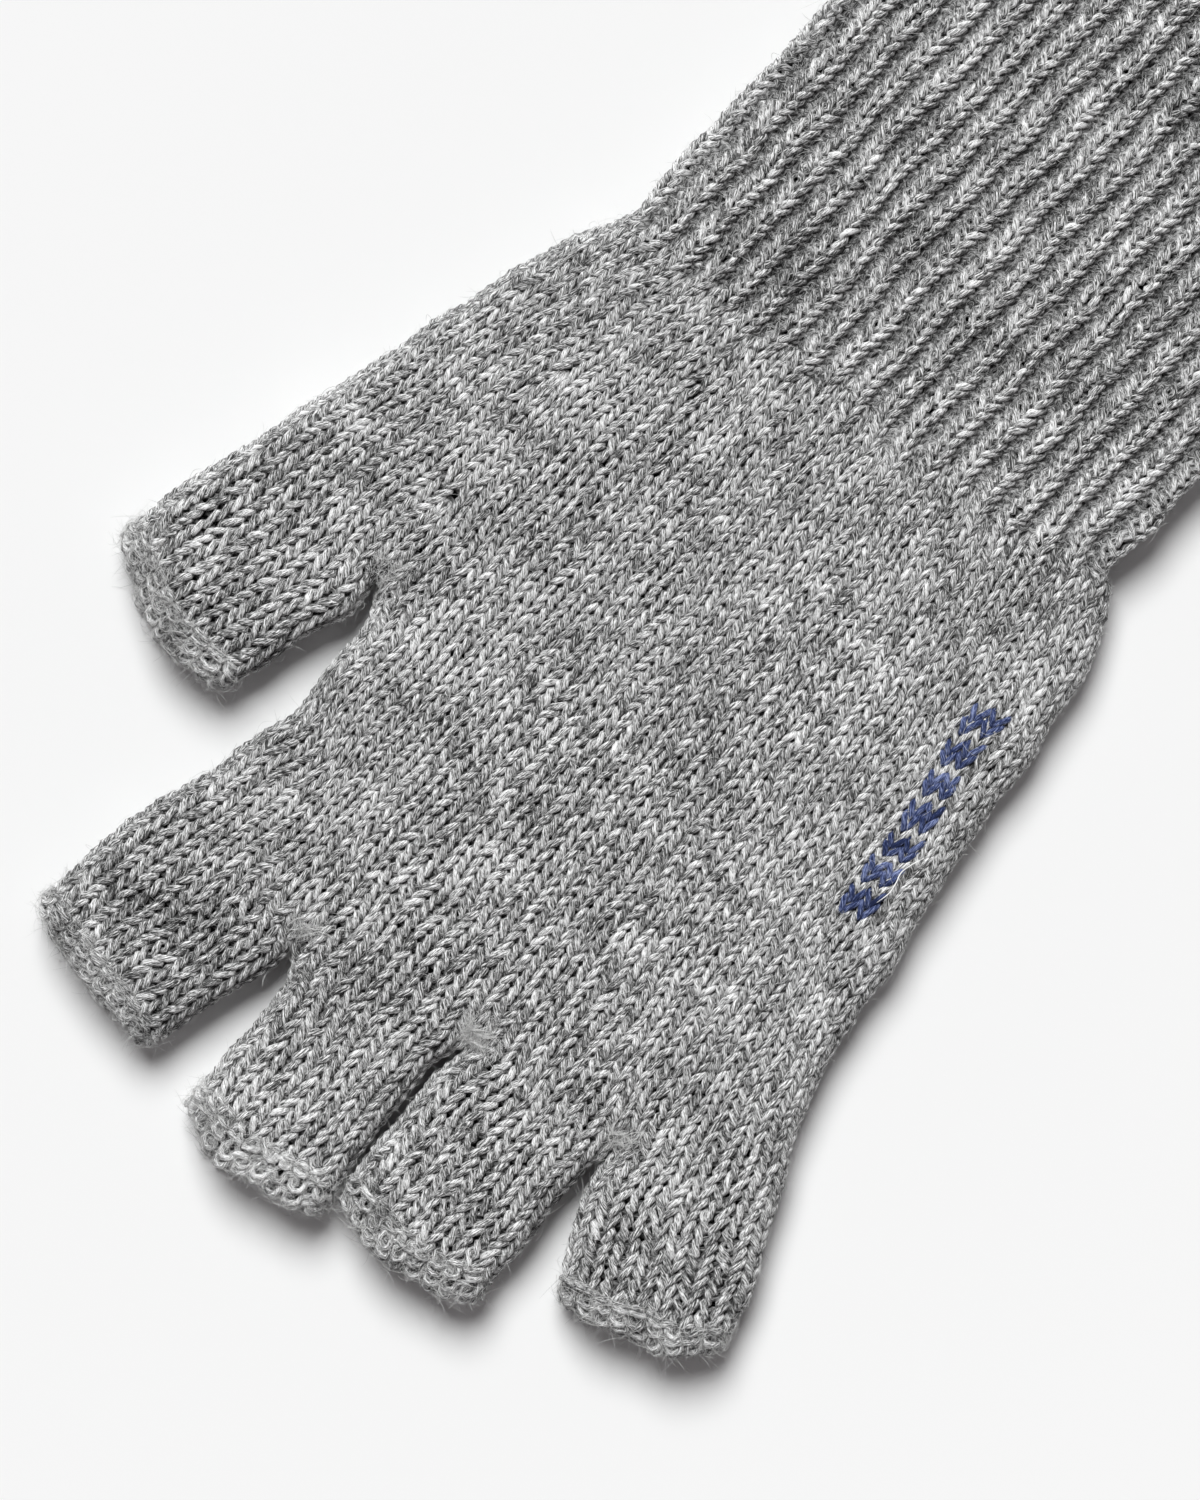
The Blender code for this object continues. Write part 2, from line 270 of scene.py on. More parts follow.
def plan(u, v, strip):
    """Plan position, and how high on its fold a point is (-1 to 1)."""
    lo, hi = np.array(FIRST)[strip], np.array(FIRST)[strip + 1]
    c0, c1 = reach(lo.astype(float), v), reach(hi - 1e-9, v)
    share = (reach(u, v) - c0) / (c1 - c0)
    a, b = np.empty(u.shape + (2,)), np.empty(u.shape + (2,))
    qa, qb = np.zeros(u.shape), np.zeros(u.shape)
    for j in range(5):
        m = strip == j
        if not m.any():
            continue
        a[m], b[m] = EDGES[j][0](v[m]), EDGES[j][1](v[m])
        qa[m] = 1.0 if j == 0 else step(crotch[j] - 0.5, crotch[j] + 1.6, v[m])
        qb[m] = 1.0 if j == 4 else step(crotch[j + 1] - 0.5, crotch[j + 1] + 1.6, v[m])
    wide = np.linalg.norm(b - a, axis=-1)
    extra = 0.5708 * HALF - INSET
    arc = wide + (qa + qb) * extra
    e, f = share * arc, (1 - share) * arc
    xa, za = fold(e, HALF)
    xb, zb = fold(f, HALF)
    xa = (1 - qa) * e + qa * (xa + INSET)
    xb = (1 - qb) * f + qb * (xb + INSET)
    za, zb = (1 - qa) + qa * za, (1 - qb) + qb * zb
    from_a = share < 0.5
    across = np.where(from_a, xa, wide - xb) / wide
    straight = a + (b - a) * across[..., None]
    # Across the whole hand the rows are smooth lines through the strips' edges.
    flat = across + strip
    knots6 = [EDGES[0][0](v)] + [EDGES[j][0](v) for j in (1, 2, 3, 4)] + [EDGES[4][1](v)]
    spots = [np.full(u.shape, float(i)) for i in range(6)]
    weight_all = 1 - step(crotch[1] - 13, crotch[1] - 1, v)
    weight_four = 1 - step(min(crotch[2:5]) - 13, min(crotch[2:5]) - 1, v)
    cuffed = step(RIB_TOP - 2, RIB_TOP + 8, v)
    cell = strip
    whole = hermite([np.asarray(s) for s in spots], knots6, flat, cell)
    four = hermite([np.asarray(s) for s in spots[1:]], knots6[1:], flat, cell - 1)
    base = np.where((strip > 0)[..., None], straight + (four - straight) * (weight_four * cuffed)[..., None], straight)
    at = base + (whole - base) * (weight_all * cuffed)[..., None]
    # The end rows of each stall bow outward.
    for j in range(5):
        inner = [c for c in (crotch[j], crotch[j + 1]) if c is not None]
        grown = step(max(inner) - 5.0, tip[j], v) * BULGE[j] * (strip == j) * (1 - (2 * across - 1) ** 2)
        aim = np.stack([(b - a)[..., 1], -(b - a)[..., 0]], axis=-1) / wide[..., None]
        at = at + aim * grown[..., None]
    high = np.where(np.abs(za) < np.abs(zb), za, zb)
    # The two layers are drawn together where two stalls meet.
    for k in (1, 2, 3, 4):
        near = EDGES[k][0](np.full(u.shape, crotch[k]))
        gap = np.linalg.norm(at - near, axis=-1)
        high = high * (1 - 0.5 * np.exp(-(gap / 3.2) ** 2) * (v < crotch[k] + 0.5))
    return at, high


def surface(u, v, strip, face):
    """The middle of the fabric, mm in the part's frame: face +1 is the back, -1 the palm."""
    at, high = plan(u, v, strip)
    x, y = at[..., 0], at[..., 1]
    calm = step(1.0, 8.0, v)
    x = x + 0.20 * slow_a(x, y) * calm + 0.06 * small_a(x, y)
    y = y + 0.30 * slow_b(x, y) * calm + 0.08 * small_b(x, y)
    ribbed = 1 - step(RIB_TOP - 4.0, RIB_TOP + 5.0, v)
    half = HALF - 0.35 * ribbed
    half = half + 0.10 * puff(x, y) + 0.10 * dent(x, y)
    half = half - 0.25 * step(RIB_TOP + 8, RIB_TOP + 1, v) * (1 - ribbed)
    mid = 0.98 + 0.40 * ribbed + HALF - 0.30 * ribbed
    k = np.clip(np.floor(u), 0, COLUMNS - 1).astype(int)
    z = mid + np.where(face > 0, half, HALF - 0.30 * ribbed) * high * face
    return np.stack([x + SHIFT[0], y + SHIFT[1], z], axis=-1)


def frames(u, v, strip, face):
    """The fabric's point and its outward direction there."""
    d = 0.04
    here = surface(u, v, strip, face)
    su = surface(u + d, v, strip, face) - surface(u - d, v, strip, face)
    sv = surface(u, v + d, strip, face) - surface(u, v - d, strip, face)
    n = np.cross(sv, su) * face[..., None]
    n /= np.linalg.norm(n, axis=-1)[..., None] + 1e-12
    return here, n


# ---------------------------------------------------------------- tubes to mesh
class Tubes:
    """Closed yarn tubes gathered into one mesh."""

    def __init__(self, sides):
        self.sides, self.n = sides, 0
        self.co, self.quads, self.uv, self.lay, self.attr = [], [], [], [], {}
        self.rows = 0

    def add(self, path, normal, radius, tones, flat=1.0, depth=None):
        """radius: one per point. tones: dict of one value per point."""
        m, k = len(path), self.sides
        tangent = np.gradient(path, axis=0)
        tangent /= np.linalg.norm(tangent, axis=1)[:, None] + 1e-12
        side = np.cross(tangent, normal)
        side /= np.linalg.norm(side, axis=1)[:, None] + 1e-12
        up = np.cross(side, tangent)
        theta = TAU * np.arange(k) / k
        ring = (np.cos(theta)[None, :, None] * up[:, None, :] * flat
                + np.sin(theta)[None, :, None] * side[:, None, :] * (1.0 if flat == 1.0 else 1.0 / flat**0.5))
        co = path[:, None, :] + ring * np.asarray(radius)[:, None, None]
        i = np.arange(m - 1)[:, None] * k
        j = np.arange(k)[None, :]
        j2 = (j + 1) % k
        quads = np.stack([i + j, i + j2, i + k + j2, i + k + j], axis=-1).reshape(-1, 4)
        length = np.concatenate([[0], np.cumsum(np.linalg.norm(np.diff(path, axis=0), axis=1))])
        s0, s1 = length[:-1, None], length[1:, None]
        t0, t1 = (j / k), ((j + 1) / k)
        one = np.ones((m - 1, k))
        uv = np.stack([np.stack([s0 * one, t0 * one], -1), np.stack([s0 * one, t1 * one], -1),
                       np.stack([s1 * one, t1 * one], -1), np.stack([s1 * one, t0 * one], -1)], axis=2).reshape(-1, 2)
        a = np.arange(m - 1)[:, None] / (m - 1) * one
        b = a + one / (m - 1)
        lay = np.stack([np.stack([a, t0 * one], -1), np.stack([a, t1 * one], -1),
                        np.stack([b, t1 * one], -1), np.stack([b, t0 * one], -1)], axis=2).reshape(-1, 2)
        caps, cap_uv = [], []
        for c in range(k // 2 - 1):
            caps.append((c + 2, c + 1, 0, k - 1) if c == 0 else None)
        # End caps: a fan of four-sided faces over an even number of sides.
        caps = []
        for c in range((k - 2) // 2):
            caps.append([0, 2 * c + 1, 2 * c + 2, 2 * c + 3 if 2 * c + 3 < k else 0])
        start = np.array([[q[3], q[2], q[1], q[0]] for q in caps])
        stop = np.array(caps) + (m - 1) * k
        quads = np.vstack([quads, start, stop])
        flat_uv = np.tile(np.array([[0.0, 0.5]]), (4 * len(caps), 1))
        end_uv = flat_uv.copy()
        end_uv[:, 0] = length[-1]
        uv = np.vstack([uv, flat_uv, end_uv])
        lay = np.vstack([lay, flat_uv, flat_uv + [1.0, 0.0]])
        lay[:, 1] += self.rows
        self.rows += 1
        self.co.append(co.reshape(-1, 3))
        self.quads.append(quads + self.n)
        self.uv.append(uv + [self.rows * 37.7, 0.0])
        self.lay.append(lay)
        # Painted shade: the underside of each tube and yarn lying deep in the fabric get a low open value, which
        # darkens the base colour as if in shade.
        high = np.cos(theta)[None, :] * np.asarray(radius)[:, None] + (np.asarray(depth)[:, None] if depth is not None else 0.35)
        self.attr.setdefault("open", []).append(step(-0.10, 0.82, high).astype(np.float32).ravel())
        for name, value in tones.items():
            self.attr.setdefault(name, []).append(np.repeat(np.asarray(value, np.float32), k))
        self.n += m * k

    def build(self, name, material):
        co = np.vstack(self.co) / 1000.0
        quads = np.vstack(self.quads).astype(np.int32)
        mesh = bpy.data.meshes.new(name)
        mesh.vertices.add(len(co))
        mesh.vertices.foreach_set("co", co.astype(np.float32).ravel())
        mesh.loops.add(quads.size)
        mesh.loops.foreach_set("vertex_index", quads.ravel())
        mesh.polygons.add(len(quads))
        mesh.polygons.foreach_set("loop_start", np.arange(0, quads.size, 4, dtype=np.int32))
        mesh.update(calc_edges=True)
        mesh.polygons.foreach_set("use_smooth", np.ones(len(quads), dtype=bool))
        uv = np.vstack(self.uv).astype(np.float32)
        mesh.uv_layers.new(name="Yarn").data.foreach_set("uv", uv.ravel())
        lay = np.vstack(self.lay)
        # Long rows of yarn are laid side by side over the square.
        lay[:, 1] = (np.floor(lay[:, 1] / 1.0) + 0.04 + 0.92 * (lay[:, 1] % 1.0)) / self.rows
        lay[:, 0] = 0.002 + 0.996 * lay[:, 0]
        mesh.uv_layers.new(name="OFBake").data.foreach_set("uv", np.clip(lay, 0, 1).astype(np.float32).ravel())
        for key, values in self.attr.items():
            mesh.attributes.new(key, "FLOAT", "POINT").data.foreach_set("value", np.concatenate(values))
        mesh.materials.append(material)
        obj = bpy.data.objects.new(name, mesh)
        bpy.context.scene.collection.objects.link(obj)
        return obj


# ---------------------------------------------------------------- heather
cloud_big, cloud_mid, cloud_small = waves(41, 26.0), waves(42, 11.0, 14), waves(43, 4.5, 16)


# Broad patches of darker and lighter wool: middle in mm from the datum, reach across, reach along, how much.
PATCHES = ((28.7, -50.4, 7.0, 10.0, -0.6), (39.6, 66.0, 14.0, 11.0, -0.5), (60.0, 33.0, 9.0, 7.0, -0.3), (-9.0, 12.0, 8.0, 10.0, -0.3),
           (42.6, -6.0, 9.0, 12.0, 0.25), (-22.0, 8.0, 6.0, 16.0, 0.3), (8.0, 78.0, 9.0, 7.0, 0.2), (30.0, 26.0, 10.0, 10.0, 0.2))


def heather(at, along, seed):
    """Light and dark patches: spun into the yarn, so they run along the rows."""
    own = np.random.default_rng(seed)
    x, y = at[:, 0], at[:, 1]
    tone = -0.12
    for px, py, across, lengthwise, much in PATCHES:
        tone = tone + much * np.exp(-((x - SHIFT[0] - px) / across) ** 2 - ((y - SHIFT[1] - py) / lengthwise) ** 2)
    tone = tone + 0.18 * cloud_big(x, y) + 0.14 * cloud_mid(x, y * 1.15) + 0.14 * cloud_small(x, y)
    for size, much in ((13.0, 0.18), (5.0, 0.36), (2.2, 0.46), (1.0, 0.30)):
        n = max(int(along[-1] / size) + 4, 4)
        tone = tone + much * np.interp(along / size, np.arange(n), own.normal(size=n))
    return tone


# ---------------------------------------------------------------- materials
def new_material(name):
    mat = bpy.data.materials.new(name)
    mat.use_nodes = True
    nodes, links = mat.node_tree.nodes, mat.node_tree.links
    return mat, nodes, links, nodes["Principled BSDF"]


def wool(name, dark, middle, light, streak=1.0, sheen=0.15, lift=0.0, tint=(1.0, 1.0, 1.0), shade=0.22):
    """Heathered wool yarn: fibres run along the yarn with a slight twist; deep yarn is darkened with painted shade."""
    mat, nodes, links, shader = new_material(name)

    def node(kind, **settings):
        made = nodes.new(kind)
        for key, value in settings.items():
            setattr(made, key, value)
        return made

    def math_node(operation, a, b, clamp=False):
        made = node("ShaderNodeMath", operation=operation, use_clamp=clamp)
        for socket, value in zip(made.inputs, (a, b)):
            if isinstance(value, (int, float)):
                socket.default_value = value
            else:
                links.new(value, socket)
        return made.outputs[0]

    uv = node("ShaderNodeUVMap", uv_map="Yarn")
    split = node("ShaderNodeSeparateXYZ")
    links.new(uv.outputs["UV"], split.inputs[0])
    along, around = split.outputs[0], split.outputs[1]
    turn = math_node("ADD", math_node("MULTIPLY", around, TAU), math_node("MULTIPLY", along, 0.62))
    ring_x = math_node("COSINE", turn, 0.0)
    ring_y = math_node("SINE", turn, 0.0)
    join = node("ShaderNodeCombineXYZ")
    links.new(math_node("MULTIPLY", ring_x, 1.0), join.inputs[0])
    links.new(math_node("MULTIPLY", ring_y, 1.0), join.inputs[1])
    links.new(math_node("MULTIPLY", along, 0.32), join.inputs[2])

    fibres = node("ShaderNodeTexNoise", noise_dimensions="3D")
    links.new(join.outputs[0], fibres.inputs["Vector"])
    fibres.inputs["Scale"].default_value = 2.4
    fibres.inputs["Detail"].default_value = 3.0
    fibres.inputs["Roughness"].default_value = 0.68
    fine = node("ShaderNodeTexNoise", noise_dimensions="3D")
    links.new(join.outputs[0], fine.inputs["Vector"])
    fine.inputs["Scale"].default_value = 5.2
    fine.inputs["Detail"].default_value = 2.0
    fine.inputs["Roughness"].default_value = 0.6

    tone = node("ShaderNodeAttribute", attribute_name="tone")
    total = math_node("ADD", math_node("MULTIPLY", math_node("SUBTRACT", fibres.outputs["Fac"], 0.5), 2.6 * streak),
                      math_node("MULTIPLY", math_node("SUBTRACT", fine.outputs["Fac"], 0.5), 3.3 * streak))
    total = math_node("ADD", total, math_node("MULTIPLY", tone.outputs["Fac"], 0.19))
    total = math_node("ADD", total, 0.5 + lift, clamp=True)
    ramp = node("ShaderNodeValToRGB")
    links.new(total, ramp.inputs[0])
    ramp.color_ramp.interpolation = "LINEAR"
    stops = ramp.color_ramp.elements
    stops[0].position, stops[0].color = 0.10, (dark * tint[0], dark * tint[1], dark * tint[2], 1)
    stops[1].position, stops[1].color = 0.87, (light * tint[0], light * tint[1], light * tint[2], 1)
    mid = stops.new(0.50)
    mid.color = (middle * tint[0], middle * tint[1], middle * tint[2], 1)
    # Painted shade: yarn that lies deep between the legs of the stitches, and the underside of each tube, are darkened
    # in the base colour, down to shade at the deepest.
    painted_shade_attr = node("ShaderNodeAttribute", attribute_name="open")
    share = math_node("ADD", math_node("MULTIPLY", painted_shade_attr.outputs["Fac"], 1.0 - shade), shade)
    painted_shade_mix = node("ShaderNodeMix", data_type="RGBA", blend_type="MULTIPLY")
    painted_shade_mix.inputs["Factor"].default_value = 1.0
    links.new(ramp.outputs[0], painted_shade_mix.inputs["A"])
    links.new(share, painted_shade_mix.inputs["B"])
    links.new(painted_shade_mix.outputs["Result"], shader.inputs["Base Color"])

    bump = node("ShaderNodeBump")
    bump.inputs["Strength"].default_value = 0.55
    bump.inputs["Distance"].default_value = 0.00016
    links.new(math_node("ADD", math_node("MULTIPLY", fibres.outputs["Fac"], 1.0), math_node("MULTIPLY", fine.outputs["Fac"], 0.6)), bump.inputs["Height"])
    links.new(bump.outputs["Normal"], shader.inputs["Normal"])
    rough = math_node("ADD", math_node("MULTIPLY", fine.outputs["Fac"], 0.16), 0.78)
    links.new(rough, shader.inputs["Roughness"])
    shader.inputs["Specular IOR Level"].default_value = 0.18
    shader.inputs["Sheen Weight"].default_value = sheen
    shader.inputs["Sheen Roughness"].default_value = 0.55
    return mat


# shade: how much colour the painted shade leaves on the deepest yarn of each material.
grey = wool("grey_heather_wool", 0.040, 0.40, 1.0, shade=0.27)
grey_edge = wool("grey_heather_edge", 0.055, 0.40, 0.98, streak=0.95, sheen=0.25, lift=0.01, shade=0.28)
pale = wool("pale_brushed_wool", 0.20, 0.55, 0.92, streak=0.7, sheen=0.3, lift=0.08, shade=0.5)
pale_edge = wool("pale_heather_edge", 0.09, 0.44, 0.97, streak=0.9, sheen=0.35, lift=0.03, shade=0.30)
navy = wool("navy_yarn", 0.08, 0.30, 0.75, streak=0.7, sheen=0.1, tint=(0.12, 0.21, 0.62), shade=0.3)


for node in navy.node_tree.nodes:
    if node.bl_idname == "ShaderNodeValToRGB":
        for stop, colour in zip(node.color_ramp.elements, ((0.008, 0.014, 0.050, 1), (0.031, 0.050, 0.152, 1), (0.270, 0.320, 0.540, 1))):
            stop.color = colour


def fluff(name, low, high):
    mat, nodes, links, shader = new_material(name)
    tone = nodes.new("ShaderNodeAttribute")
    tone.attribute_name = "tone"
    ramp = nodes.new("ShaderNodeValToRGB")
    links.new(tone.outputs["Fac"], ramp.inputs[0])
    ramp.color_ramp.elements[0].color = (low, low, low, 1)
    ramp.color_ramp.elements[1].color = (high, high, high * 0.99, 1)
    links.new(ramp.outputs[0], shader.inputs["Base Color"])
    shader.inputs["Roughness"].default_value = 0.8
    shader.inputs["Specular IOR Level"].default_value = 0.2
    shader.inputs["Sheen Weight"].default_value = 0.3
    return mat


fibre_mat = fluff("loose_fibres", 0.22, 0.88)


# ---------------------------------------------------------------- knitting
def stitch_row(row, columns, face, points):
    """One row's yarn over these columns: (u, v, off) along it, and the point's place in its loop."""
    cols = [k for k in columns if grid_read(WIDTH, np.array([k]), np.array([float(row)]))[0] > 0.36]
    k = np.array(cols, float)
    n = len(cols)
    own = np.random.default_rng(1000 + int(row) * 7 + (3 if face < 0 else 0) + int(columns[0]) * 131)
    t = TAU * np.arange(points) / points
    t = np.concatenate([np.tile(t, n), [TAU]])
    which = np.concatenate([np.repeat(np.arange(n), points), [n - 1]])
    kk = k[which]
    swell = own.normal(0, 1, n)[which]
    lean = own.normal(0, 1, n)[which]
    drop = own.normal(0, 1, n)[which]
    loose = np.sin(t / 2) ** 2
    splay = WAIST * (1 + 0.15 * swell)
    u = kk + t / TAU + splay * np.sin(2 * t) + 0.032 * lean * loose
    back = LOOP * (1 + 0.07 * swell)
    v = row + 0.5 * (LOOP + back) * np.cos(t) + 0.5 * (LOOP - back) + 0.062 * drop * loose
    # Knit columns show their legs, purl columns their heads; in the rib the purl
    # columns sink and the knit columns stand proud.
    ints = np.array(cols)
    plain = step(onset[ints] - 0.5, onset[ints] + 1.0, np.full(n, float(row))) > 0.5
    kinds = np.where(plain | (rib_kind[ints] == 0), 1.0, rib_kind[ints])
    place = np.clip(u - kk, 0, 1)
    to_left = 0.5 - 0.5 * np.cos(np.pi * np.clip(0.5 - place, 0, 0.5))
    to_right = 0.5 - 0.5 * np.cos(np.pi * np.clip(place - 0.5, 0, 0.5))
    before, after = np.clip(which - 1, 0, n - 1), np.clip(which + 1, 0, n - 1)

    def blended(values):
        return values[which] * (1 - to_left - to_right) + values[before] * to_left + values[after] * to_right

    kind = blended(kinds)
    deep = 1 - step(RIB_TOP - 3.0, RIB_TOP + 3.0, np.full(len(t), float(row)))
    relief = blended(rib_kind[ints])
    off = -LEG * np.cos(2 * t) * kind + 0.05 * lean * loose
    # Painted shade in the colour: the line between two columns, and between the two legs of one, is darkened as if in
    # shade, and so are the rib's purl troughs; the rib's knit columns are made a little lighter.
    depth = off + 0.08 * deep * np.clip(relief, 0, 1) - 0.52 * deep * np.clip(0.5 - 0.5 * relief, 0, 1) ** 1.4 - 0.15 * (1 - deep) * np.cos(TAU * place) ** 2
    off = off + 0.68 * deep * relief
    width = np.ones(len(t)) * (1 + 0.10 * (-np.cos(2 * t)) * kind) * (1 + 0.12 * deep * np.clip(relief, 0, 1))
    tight = np.concatenate([own.normal(0, 1, n)[which]])
    width = width * (1 + 0.05 * tight * loose)
    return u, v, off, width, kk, depth


def strip_of(u):
    return np.clip(np.searchsorted(np.array(FIRST), u, side="right") - 1, 0, 4)


HOST = []                # places on the yarn where loose fibres start


def knit(name, rows, strips, face, sides, points, bodies):
    """Rows of stitches over the strips, one yarn tube a row and a group of joined strips."""
    made = Tubes(sides)
    for row in rows:
        live = [j for j in strips if row <= KNIT_END[j]]
        groups, run = [], []
        for j in live:
            if run and (j != run[-1] + 1 or row > crotch[j]):
                groups.append(run)
                run = []
            run.append(j)
        if run:
            groups.append(run)
        for run in groups:
            columns = range(FIRST[run[0]], FIRST[run[-1] + 1])
            u, v, off, width, kk, depth = stitch_row(row, columns, face, points)
            strip = np.clip(strip_of(kk), run[0], run[-1])
            faces = np.full(len(u), float(face))
            here, n = frames(u, v, strip, faces)
            path = here + n * off[:, None]
            path[:, 2] = np.maximum(path[:, 2], YARN + 0.06)
            along = np.concatenate([[0], np.cumsum(np.linalg.norm(np.diff(path, axis=0), axis=1))])
            tone = heather(path, along, 5000 + int(row) * 13 + (5 if face < 0 else 0) + run[0])
            stretch = step(2.3, 3.1, np.linalg.norm(surface(u + 0.5, v, strip, faces) - surface(u - 0.5, v, strip, faces), axis=-1))
            radius = YARN * width * (1 + 0.09 * stretch)
            made.add(path, n, radius, {"tone": tone}, depth=depth)
            pick = rng.random(len(path)) < 1.0
            HOST.append((bodies, path[pick], n[pick], radius[pick], np.full(pick.sum(), float(row)), strip[pick], face))
    return made


HAND_TOP = {}            # first row of each stall's own piece
BASES = {"thumb": ((54.3, 10.8), 21.8), "index": ((34.8, 56.1), 19.7), "middle": ((9.5, 62.8), 5.5),
         "ring": ((-15.3, 58.3), 2.2), "little": ((-39.0, 53.7), -23.1)}
for j, name in enumerate(STRIPS):
    (bx, by), lean = BASES[name]
    a = math.radians(lean)
    u = np.array([0.5 * (FIRST[j] + FIRST[j + 1])])
    best, when = 1e9, 0
    for row in range(60, 125):
        p, _ = plan(u, np.array([float(row)]), np.array([j]))
        d = (p[0, 0] - bx) * math.sin(a) + (p[0, 1] - by) * math.cos(a)
        if abs(d) < best:
            best, when = abs(d), row
    inner = [c for c in (crotch[j], crotch[j + 1]) if c is not None]
    HAND_TOP[name] = when - 1
    print(name, "base row", when, "crotch", [round(c, 1) for c in inner], "tip", round(tip[j], 1))


def spot(name, ahead, z):
    (bx, by), lean = BASES[name]
    a = math.radians(lean)
    return ((bx + math.sin(a) * ahead + SHIFT[0]) / 1000, (by + math.cos(a) * ahead + SHIFT[1]) / 1000, z / 1000)


BACK_SIDES, BACK_POINTS = 6, 12
PALM_SIDES, PALM_POINTS = 5 + 1, 8
SPLIT = 50               # first row of the hand's own pieces
pieces = []


def keep(obj, body=None, mix=None, stands_for=()):
    if mix:
        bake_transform(obj)
    else:
        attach(obj, body)
    if stands_for:
        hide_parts(*stands_for)
    pieces.append(obj)
    return obj


WRIST = ((6.8 + SHIFT[0]) / 1000, 0, 0.0044)
wrist_mix = ("hand", "cuff", (WRIST[0], (-39.0 + SHIFT[1]) / 1000, 0.0044), (WRIST[0], (-47.5 + SHIFT[1]) / 1000, 0.0044))
LOWEST = int(RIB_TOP) + 6          # the cuff's piece runs on into the hand this far

for face, side, k, m in ((1, "back", BACK_SIDES, BACK_POINTS), (-1, "palm", PALM_SIDES, PALM_POINTS)):
    all_strips = [0, 1, 2, 3, 4]
    cuff_low = knit("cuff", range(1, 28), all_strips, face, k, m, ("hand", "cuff"))
    keep(cuff_low.build(f"{side}_rib_lower", grey), mix=wrist_mix, stands_for=("rib_cuff",))
    cuff_high = knit("cuff", range(28, LOWEST), all_strips, face, k, m, ("hand", "cuff"))
    keep(cuff_high.build(f"{side}_rib_upper", grey), mix=wrist_mix, stands_for=("rib_cuff",))
    hand_low = knit("hand", range(LOWEST, 79), all_strips, face, k, m, "hand")
    keep(hand_low.build(f"{side}_of_hand_lower", grey), "hand", stands_for=("hand_tube",))
    # Above here each strip stops at its own stall's folding line.
    hand_high = Tubes(k)
    for row in range(79, 126):
        live = [j for j in all_strips if row < HAND_TOP[STRIPS[j]]]
        run = []
        groups = []
        for j in live:
            if run and (j != run[-1] + 1 or row > crotch[j]):
                groups.append(run)
                run = []
            run.append(j)
        if run:
            groups.append(run)
        for run in groups:
            part = knit("hand", [row], run, face, k, m, "hand")
            shift = hand_high.n
            hand_high.co += part.co
            hand_high.quads += [q + shift for q in part.quads]
            hand_high.uv += [q + [hand_high.rows * 37.7, 0.0] for q in part.uv]
            hand_high.lay += [q + [0.0, hand_high.rows] for q in part.lay]
            for key in part.attr:
                hand_high.attr.setdefault(key, []).extend(part.attr[key])
            hand_high.n += part.n
            hand_high.rows += part.rows
    keep(hand_high.build(f"{side}_of_hand_upper", grey), "hand", stands_for=("hand_tube",))
    for j, name in enumerate(STRIPS):
        stall = knit(name, range(HAND_TOP[name], int(KNIT_END[j]) + 1), [j], face, k, m, ("hand", name))
        keep(stall.build(f"{name}_{side}_knit", grey), mix=("hand", name, spot(name, -1.0, 3.0), spot(name, 8.0, 3.0)),
             stands_for=(f"{name}_stall",))


# ---------------------------------------------------------------- bound edges
def rim(j, v, count, setback=0.25, tuck=0.9):
    """Once round the open end of a stall or of the cuff: points and outward directions."""
    strips = [j] if j is not None else [0, 1, 2, 3, 4]
    lo, hi = FIRST[strips[0]], FIRST[strips[-1] + 1]
    if j is None:
        lo, hi = 1.0, 41.0
    s = (np.arange(count) / count) * 2.0
    top = s < 1.0
    u = np.where(top, lo + (hi - lo) * s, hi - (hi - lo) * (s - 1.0))
    u = np.clip(u, lo + 1e-6, hi - 1e-6)
    strip = strip_of(u)
    face = np.where(top, 1.0, -1.0)
    # The palm layer runs a little further than the back layer.
    _, high = plan(u, np.full(count, float(v)), strip)
    vv = v - (setback * (0.5 + 0.5 * high * face)) * (1.0 if v > 10 else -1.0)
    here, n = frames(u, vv, strip, face)
    ahead = surface(u, vv + 0.3, strip, face) - surface(u, vv - 0.3, strip, face)
    ahead /= np.linalg.norm(ahead, axis=1)[:, None]
    # The roll's corners stay within the sides.
    middle = here.mean(axis=0)
    across = here[0] - here[count // 2]
    across[2] = 0.0
    across /= np.linalg.norm(across)
    side = (here - middle) @ across
    here = here - across[None] * (side * tuck / np.abs(side).max())[:, None]
    return here, n, ahead


